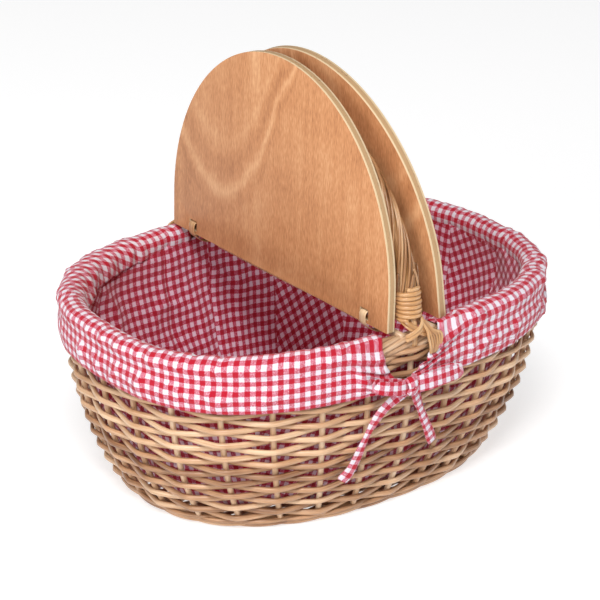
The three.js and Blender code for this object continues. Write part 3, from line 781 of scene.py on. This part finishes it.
# the rolled band, in a left and a right half; its section runs from the hem up and over the border
band_section = np.array([
    (-0.0032, 0.1445), (-0.0040, 0.1500), (-0.0046, 0.1560), (-0.0048, 0.1620), (-0.0042, 0.1670), (-0.0026, 0.1712),
    (-0.0012, 0.1745), (-0.0022, 0.1780), (-0.0042, 0.1825), (-0.0044, 0.1865), (-0.0034, 0.1900), (-0.0004, 0.1930),
    (0.0036, 0.1948), (0.0078, 0.1952), (0.0120, 0.1941), (0.0156, 0.1914), (0.0178, 0.1872), (0.0184, 0.1830),
    (0.0180, 0.1785), (0.0168, 0.1735)])
section_run = length_along(band_section)
band_height = section_run[-1]
band_rows = 52
row_run = np.linspace(0, band_height, band_rows)
section_depth = np.interp(row_run, section_run, band_section[:, 0])
section_z = np.interp(row_run, section_run, band_section[:, 1])
for _ in range(3):
    for line in (section_depth, section_z):
        line[1:-1] = (line[:-2] + 2 * line[1:-1] + line[2:]) / 4
# the band's two edges at the front notch, as (distance from the hem, x, z): the lower corner of each
# is gathered into a strap that runs to the knot
notch_edges = {
    "near": np.array([(0, -0.0300, 0.1462), (0.012, -0.0298, 0.1490), (0.024, -0.0305, 0.1525),
                      (0.030, -0.0350, 0.1585), (0.037, -0.0410, 0.1675), (0.044, -0.0448, 0.1775),
                      (0.050, -0.0460, 0.1845), (0.056, -0.0460, 0.19)]),
    "far": np.array([(0, -0.0180, 0.1462), (0.012, -0.0180, 0.1495), (0.024, -0.0165, 0.1540),
                     (0.030, -0.0085, 0.1590), (0.036, 0.0020, 0.1655), (0.043, 0.0120, 0.1740),
                     (0.050, 0.0185, 0.1835), (0.057, 0.0200, 0.19)])}


def stake_place(x, end):
    """Where along the rim, counted in stakes, the front (-1) or back (1) has this x."""
    turns = np.linspace(0, math.pi, 1500) if end > 0 else np.linspace(math.pi, 2 * math.pi, 1500)
    xs = oval_point(0.0, 0.19, turns)[:, 0]
    turn = np.interp(x, xs, turns) if end < 0 else np.interp(x, xs[::-1], turns[::-1])
    run = np.interp(turn, rim_turns, rim_run)
    return (run - first_stake) % rim_length / rim_length * stake_count


def edge_of(kind, end):
    """x and z of a band's edge on each row; the back notch is the front one turned half round."""
    table = notch_edges[kind]
    x = np.interp(row_run, table[:, 0], table[:, 1])
    z = np.interp(row_run, table[:, 0], table[:, 2])
    held = row_run < 0.050
    if end > 0:
        x = 2 * handle_x - x + (0.009 * np.clip((row_run - 0.030) / 0.02, 0, 1) if kind == "far" else 0)
    return x, np.where(held, z, section_z), held


fold_dice = np.random.default_rng(23)
for name, ends in (("left", (("far", 1), ("near", -1))), ("right", (("far", -1), ("near", 1)))):
    columns = 208
    (start_x, start_z, held), (stop_x, stop_z, _) = edge_of(*ends[0]), edge_of(*ends[1])
    start = np.array([stake_place(x, ends[0][1]) for x in start_x])
    stop = np.array([stake_place(x, ends[1][1]) for x in stop_x])
    stop = np.where(stop < start, stop + stake_count, stop)
    place = start[:, None] + (stop - start)[:, None] * np.linspace(0, 1, columns)
    turn = turn_at(place)
    z = np.repeat(section_z[:, None], columns, 1)
    depth = np.repeat(section_depth[:, None], columns, 1)
    run = row_run[:, None]
    cosine, sine = np.cos(turn), np.sin(turn)
    from_start = (place - start[:, None]) * stake_gap
    from_stop = (stop[:, None] - place) * stake_gap
    skirt = np.clip(1 - np.abs(run - 0.015) / 0.020, 0, 1) ** 0.5
    roll = np.clip(1 - np.abs(run - 0.063) / 0.033, 0, 1) ** 0.5
    crease = np.exp(-((run - 0.0315) / 0.005) ** 2)
    slanted = rumple(cosine * 5.5 + z * 26, sine * 5.5 - z * 22, z * 9, 1.0, 3.1)
    fine = rumple(cosine * 17 + z * 40, sine * 17, z * 30, 1.0, 8.7)
    pucker = rumple(cosine * 34 + z * 20, sine * 34, z * 22, 1.0, 1.7)
    broad = rumple(cosine * 3.0, sine * 3.0, z * 5, 1.0, 5.2)
    puff = 0.0010 * skirt * (ridges(slanted) - 0.2) + 0.0009 * skirt * fine + 0.0013 * broad * (skirt + roll)
    puff += 0.0009 * roll * fine + 0.0013 * crease * pucker + 0.0010 * roll * ridges(slanted) + 0.0007 * roll * pucker
    # folds that run slantwise from the crease down to the hem, and short ones over the roll
    for count, slopes, widths, deeps, along, strength in (
            (34, 0.55, (0.0022, 0.0055), (0.0008, 0.0032), (0.034 - run) / 0.034,
             np.clip(1 - np.abs(run - 0.017) / 0.020, 0, 1) ** 0.6),
            (76, 0.30, (0.0018, 0.0040), (0.0008, 0.0027), (run - 0.06) / 0.03,
             roll * np.clip((run - 0.034) / 0.01, 0, 1))):
        for _ in range(count):
            middle, slope = fold_dice.uniform(start[0], stop[0]), fold_dice.normal(0, slopes)
            width, deep = fold_dice.uniform(*widths), fold_dice.uniform(*deeps)
            across = (place - middle - slope * along) * stake_gap
            puff += deep * np.exp(-((across / width) ** 2)) * strength
    sag = np.exp(-(((place - (10.3 if name == "left" else 0.6)) * stake_gap / 0.085) ** 2))
    inside = np.clip((run - 0.066) / 0.03, 0, 1)
    depth = depth - puff + sag * inside * (0.015 + 0.012 * slanted + 0.010 * fine)
    z = z + 0.0012 * broad * (run < 0.03) + 0.0008 * roll * fine - sag * 0.009 * np.clip((run - 0.075) / 0.02, 0, 1)
    fuller = np.clip(-sine, 0, 1) ** 1.5 * np.clip((run - 0.036) / 0.018, 0, 1) * np.clip((0.100 - run) / 0.012, 0, 1)
    z = z + 0.0048 * fuller
    # draw the lower corners together into the straps
    for away, edge_z in ((from_start, start_z), (from_stop, stop_z)):
        drawn = np.exp(-((away / 0.030) ** 2)) * held[:, None]
        z = z + (edge_z[:, None] - section_z[:, None]) * drawn
        gathers = np.sin(run * 900 + away * 45) * np.exp(-((away / 0.04) ** 2))
        depth = depth - 0.0016 * gathers * (run < 0.045) - 0.0034 * drawn * (run < 0.036)
    # the cloth stays outside the woven side and the border
    depth = np.where(run < 0.037, np.minimum(depth, -0.0031), depth)
    inward, upward = depth - border_depth, z - border_z
    room = np.sqrt((inward / 0.0102) ** 2 + (upward / 0.0108) ** 2)
    push = np.where((room < 1) & (run > 0.028), 1 / np.clip(room, 0.2, 1), 1)
    depth, z = border_depth + inward * push, border_z + upward * push
    grid = oval_point(depth, np.clip(z, 0, 0.1999), turn)
    grid[..., 2] = z
    # the lid's corner presses the cloth flat beside the handle
    under_lid = (np.abs(np.abs(grid[..., 0]) - 0.031) < 0.015) & (np.abs(grid[..., 1]) < 0.1795)
    grid[..., 2] = np.where(under_lid, np.minimum(grid[..., 2], 0.1957), grid[..., 2])

    skew = 0.55 * stake_gap * np.clip(place - 8.2, 0, 3.4) * (name == "left")  # pulled on the bias there

    def band_uv(i, j, place=place, skew=skew):
        return [(place[row, column] * stake_gap, row_run[row] + skew[row, column])
                for row, column in ((i, j), (i, j + 1), (i + 1, j + 1), (i + 1, j))]

    band = sew(f"liner_band_{name}", grid, band_uv, checked, False, row_run)
    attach(band, "basket")

# the bag inside: a wall of panels and a floor
bag_columns = 392
wall_heights = np.concatenate([np.linspace(0.1800, 0.030, 50), (0.026, 0.0225, 0.0195, 0.0172, 0.0155)])
wall_inset = np.concatenate([np.interp(np.linspace(0, 1, 50), (0, 0.2, 1), (0.0168, 0.0146, 0.0146)),
                             (0.0150, 0.0162, 0.0180, 0.0205, 0.0240)])
seams = np.array((0.0, 2.6, 4.4, 6.2, 7.5, 9.6, 12.5, 14.0, 16.6, 18.5, 20.3, 21.6, 23.6, 26.4))  # in stakes
panel_turn = (0.05, -0.42, 0.03, -0.05, 0.04, 0.50, -0.45, 0.06, -0.38, 0.02, -0.04, 0.04, 0.46, -0.5)
bag_place = np.arange(bag_columns) / bag_columns * stake_count
bag_turn = turn_at(bag_place)
cosine, sine = np.cos(bag_turn), np.sin(bag_turn)
seam_gap = np.min(np.abs((bag_place[:, None] - seams + stake_count / 2) % stake_count - stake_count / 2), axis=1)
seam = np.exp(-((seam_gap / 0.07) ** 2))
rows = []
for z, inset in zip(wall_heights, wall_inset):
    down = (0.180 - z) / 0.165
    swag = rumple(cosine * 2.6 + z * 9, sine * 2.6 - z * 7, np.full(bag_columns, z * 6), 1.0, 2.3)
    fold = rumple(cosine * 7.5, sine * 7.5, np.full(bag_columns, z * 8), 1.0, 6.1)
    small = rumple(cosine * 20, sine * 20, np.full(bag_columns, z * 34), 1.0, 9.4)
    hang = math.sin(math.pi * min(1, max(0, down))) ** 0.6
    loose = hang * (0.0030 + 0.0062 * np.clip(ridges(swag, 1.4), -0.4, 1) + 0.0034 * fold + 0.0011 * small)
    depth = inset + np.clip(loose, -0.0002, None) - 0.0016 * seam * hang
    rows.append(oval_point(depth, z, bag_turn))
edge = rows[-1].copy()
for share in np.linspace(0.93, 0.0, 34):
    ring = edge * share
    wave = rumple(ring[:, 0], ring[:, 1], np.zeros(bag_columns), 22.0, 4.4)
    ring[:, 2] = 0.0131 + 0.0010 * (wave + 0.5) * (1 - share * 0.3)
    rows.append(ring)
bag_grid = np.array(rows)
bag_run = length_along(wall_heights[:, None])


def bag_uv(i, j):
    """The cloth's own place at a face's corners: each panel is cut at its own angle."""
    corners = ((i, 0), (i, 1), (i + 1, 1), (i + 1, 0))
    if i >= len(wall_heights) - 1:  # the floor is one flat panel
        spots = [bag_grid[row, (j + step) % bag_columns] for row, step in corners]
        return [(p[0] * 0.966 - p[1] * 0.259, p[0] * 0.259 + p[1] * 0.966) for p in spots]
    centre = bag_place[j] + 0.5 * stake_count / bag_columns
    panel = int(np.searchsorted(seams, centre, side="right")) - 1
    cos, sin = math.cos(panel_turn[panel]), math.sin(panel_turn[panel])
    out = []
    for row, step in corners:
        narrow = 1 - 0.12 * bag_run[row]
        u = ((bag_place[j] + step * stake_count / bag_columns) - seams[panel]) * rim_length / stake_count * narrow
        v = bag_run[row]
        out.append((u * cos - v * sin + panel * 0.313, u * sin + v * cos + panel * 0.127))
    return out


# the bag takes the darker, pinker gingham, which is painted shade
bag = sew("liner_bag", bag_grid, bag_uv, painted_shade_checked, True)
pick_up(bag)
bpy.ops.object.mode_set(mode="EDIT")
bpy.ops.mesh.select_all(action="SELECT")
bpy.ops.mesh.remove_doubles(threshold=0.00002)
bpy.ops.object.mode_set(mode="OBJECT")
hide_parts("liner")
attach(bag, "basket")

# ---------------------------------------------------------------- ties
# Two tie ends of the same cloth, sewn to the corners of the band, are tied in a bow under each foot
# of the handle: a small loop on the left, a squared one on the right and two narrow tails.


def front_of_wall(x, z):
    """How far out the wall's outside is at this x and height."""
    long_half, short_half, power = oval_size(z)
    return short_half * (1 - np.abs(x / long_half) ** power) ** (1 / power)


def ribbon_strip(anchors, count, wide, end, crumple):
    """Points of a folded cloth strip along anchors (x, off the wall, z), with its half widths."""
    path = smooth_path(anchors, count)
    out = front_of_wall(path[:, 0], path[:, 2]) + path[:, 1]
    points = np.stack([path[:, 0], end * out, path[:, 2]], 1)
    place = np.linspace(0, 1, count)
    half = wide * (1 + crumple * np.sin(place * 23 + anchors[0][0] * 300) * 0.5 + crumple * np.sin(place * 9))
    return points, half


def sew_strips(name, strips):
    """One mesh of flat cloth strips with the gingham running along each."""
    sides = 12
    corner = (np.arange(sides) + 0.5) / sides * 2 * math.pi
    cos, sin = np.cos(corner), np.sin(corner)
    flat = (np.abs(cos) ** 3 + np.abs(sin) ** 3) ** (-1 / 3)
    verts, faces, uvs = [], [], []
    base = 0
    for number, (points, outward, wide, deep) in enumerate(strips):
        count = len(points)
        outward, across = square_to(points, outward)
        ring = (points[:, None] + outward[:, None] * (cos * flat)[None, :, None] * deep[:, None, None]
                + across[:, None] * (sin * flat)[None, :, None] * wide[:, None, None])
        verts.append(ring.reshape(-1, 3))
        run = length_along(points) + number * 0.0733
        for i in range(count - 1):
            a, b = base + i * sides, base + (i + 1) * sides
            for k in range(sides):
                m = (k + 1) % sides
                faces.append((a + k, a + m, b + m, b + k))
                for row, c in ((i, k), (i, m), (i + 1, m), (i + 1, k)):
                    side_shift = 0.013 if cos[c] < 0 else 0.0
                    uvs.append((run[row], float(sin[c] * flat[c]) * wide[row] + number * 0.0031 + side_shift))
        faces.append(tuple(base + k for k in reversed(range(sides))))
        faces.append(tuple(base + (count - 1) * sides + k for k in range(sides)))
        for row in (0, count - 1):
            uvs += [(run[row], float(sin[k] * flat[k]) * wide[row]) for k in range(sides)]
        base += count * sides
    piece = mesh_piece(name, np.concatenate(verts), faces, "cloth", uvs)
    piece.data.materials.append(checked)
    return piece


# each strip of the bow: its anchors (x, off the wall, z), points, half width, half thickness and crumple
bow_strips = (
    # left loop: out, round its end and back
    (((-0.026, 0.0135, 0.1500), (-0.038, 0.0125, 0.1520), (-0.052, 0.0110, 0.1560), (-0.0605, 0.0118, 0.1575),
      (-0.0615, 0.0145, 0.1575), (-0.054, 0.0172, 0.1555), (-0.040, 0.0172, 0.1518), (-0.026, 0.0155, 0.1498)),
     54, 0.0062, 0.0009, 0.16),
    # right loop, longer and squared off
    (((-0.022, 0.0135, 0.1500), (-0.008, 0.0125, 0.1500), (0.010, 0.0112, 0.1502), (0.027, 0.0118, 0.1500),
      (0.0345, 0.0138, 0.1498), (0.0340, 0.0165, 0.1496), (0.020, 0.0178, 0.1496), (0.000, 0.0176, 0.1496),
      (-0.020, 0.0158, 0.1498)), 66, 0.0072, 0.0009, 0.12),
    # long left tail and short right tail
    (((-0.024, 0.0140, 0.1490), (-0.033, 0.0135, 0.1430), (-0.047, 0.0100, 0.1310), (-0.056, 0.0062, 0.1140),
      (-0.063, 0.0052, 0.0950), (-0.068, 0.0050, 0.0760), (-0.073, 0.0058, 0.0640), (-0.079, 0.0062, 0.0555)),
     60, 0.0050, 0.0012, 0.20),
    (((-0.022, 0.0140, 0.1490), (-0.016, 0.0132, 0.1410), (-0.007, 0.0092, 0.1250), (0.003, 0.0060, 0.1070),
      (0.013, 0.0052, 0.0890), (0.022, 0.0058, 0.0715)), 48, 0.0050, 0.0012, 0.14))
knot_x, knot_z, knot_off = -0.0225, 0.1495, 0.0148

for end, name in ((-1, "front"), (1, "back")):
    out = np.array([0.0, end, 0.15])
    strips = []
    for anchors, count, wide, deep, crumple in bow_strips:
        if end > 0:
            anchors = [(2 * handle_x - x, off, z) for x, off, z in anchors]
        points, half = ribbon_strip(anchors, count, wide, end, crumple)
        strips.append((points, np.broadcast_to(out, points.shape), half, np.full(count, deep)))
    # the knot: the cloth goes twice round the crossing
    x = knot_x if end < 0 else 2 * handle_x - knot_x
    centre = np.array([x, end * (front_of_wall(x, knot_z) + knot_off), knot_z])
    phase = np.linspace(0, 2 * math.pi, 30)
    for lean, radius in ((0.25, 0.0066), (-0.2, 0.0076)):
        ring = np.stack([lean * 0.006 * np.sin(phase), end * 0.0042 * np.cos(phase), radius * np.sin(phase)], 1)
        strips.append((centre + ring, ring + 1e-6, np.full(30, 0.0052), np.full(30, 0.0016)))
    tie = sew_strips(f"bow_{name}", strips)
    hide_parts(f"tie_{name}")
    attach(tie, "basket")
